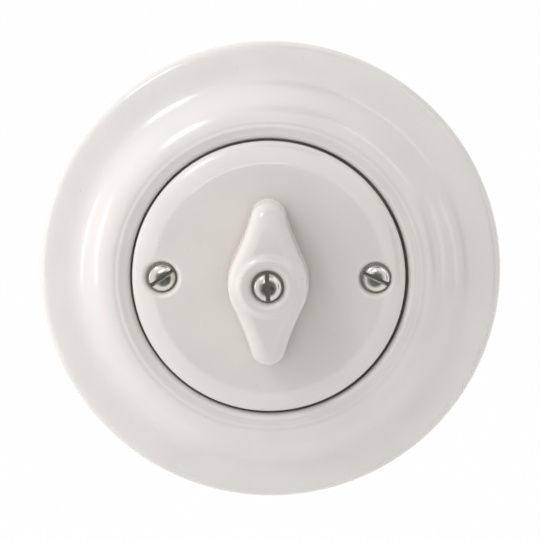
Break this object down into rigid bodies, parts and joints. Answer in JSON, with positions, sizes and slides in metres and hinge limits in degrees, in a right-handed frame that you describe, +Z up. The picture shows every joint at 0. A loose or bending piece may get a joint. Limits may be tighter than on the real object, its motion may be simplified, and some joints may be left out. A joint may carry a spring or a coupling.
{
  "type": "rotary switch",
  "caption": "Flush rotary wall light switch: round porcelain surround and centre plate, lozenge toggle, slotted screws, and a ceramic contact base with spreading claws behind.",
  "frame": {"origin": "on the knob's axis in the plane of the wall, which is the back of the surround's foot and of the support ring", "axes": "+Z up, +X to the right as seen from the room, -Y out of the wall towards the room"},
  "size_m": [0.1, 0.0543, 0.1],
  "materials": {
    "porcelain": "white glossy glaze",
    "fibre": "pressed red-brown fibre",
    "nickel": "polished nickel plate",
    "zinc_steel": "zinc plated sheet steel",
    "zinc_screw": "zinc plated turned steel",
    "spring_steel": "tempered spring steel",
    "hardened_steel": "ground hardened steel",
    "brass": "drawn and turned brass",
    "contact_bronze": "rolled phosphor bronze",
    "phenolic": "moulded dark phenolic resin",
    "steatite": "unglazed ivory steatite"
  },
  "bodies": {
    "switch_body": {"surround": "porcelain", "centre_plate": "porcelain", "cover_screws": "nickel", "support_ring": "zinc_steel", "spindle_bush": "brass", "detent_spring_left": "spring_steel", "detent_spring_right": "spring_steel", "detent_housing": "phenolic", "mechanism_base": "steatite", "right_throw_contact": "contact_bronze", "left_throw_contact": "contact_bronze", "common_contact": "contact_bronze", "terminal_throw_left": "brass", "terminal_throw_right": "brass", "terminal_common_left": "brass", "terminal_common_right": "brass", "terminal_screws": "zinc_screw", "base_screws": "zinc_screw", "base_nuts": "zinc_screw", "claw_pins": "zinc_screw", "claw_spring_upper": "spring_steel", "claw_spring_lower": "spring_steel"},
    "turning_parts": {"knob": "porcelain", "knob_washer": "fibre", "knob_screw": "nickel", "spindle": "brass", "spindle_clip": "spring_steel", "detent_cam": "hardened_steel", "rotor": "phenolic", "contact_bridge": "brass"},
    "upper_claw": {"claw_upper": "zinc_steel"},
    "lower_claw": {"claw_lower": "zinc_steel"},
    "upper_claw_screw": {"claw_screw_upper": "zinc_screw"},
    "lower_claw_screw": {"claw_screw_lower": "zinc_screw"}
  },
  "joints": [
    {"name": "knob_turn", "type": "hinge", "parent": "switch_body", "child": "turning_parts", "pos_m": [0, 0, 0], "axis": [0, 1, 0], "continuous": true, "deforming": ["detent_spring_left", "detent_spring_right"]},
    {"name": "upper_claw_swing", "type": "hinge", "parent": "switch_body", "child": "upper_claw", "pos_m": [0, 0.004, 0.0255], "axis": [1, 0, 0], "range_deg": [0, 18], "stiffness_Nm_per_rad": 0.012, "springref_deg": -9.74, "deforming": ["claw_spring_upper"]},
    {"name": "lower_claw_swing", "type": "hinge", "parent": "switch_body", "child": "lower_claw", "pos_m": [0, 0.004, -0.0255], "axis": [-1, 0, 0], "range_deg": [0, 18], "stiffness_Nm_per_rad": 0.012, "springref_deg": -9.74, "deforming": ["claw_spring_lower"]},
    {"name": "upper_claw_screw_drive", "type": "slide", "parent": "switch_body", "child": "upper_claw_screw", "axis": [0, 1, 0], "range_m": [0, 0.00135]},
    {"name": "lower_claw_screw_drive", "type": "slide", "parent": "switch_body", "child": "lower_claw_screw", "axis": [0, 1, 0], "range_m": [0, 0.00135]}
  ],
  "couplings": [
    {"joint": "upper_claw_swing", "follows": "upper_claw_screw_drive", "rad_per_m": 232.56},
    {"joint": "lower_claw_swing", "follows": "lower_claw_screw_drive", "rad_per_m": 232.56}
  ]
}
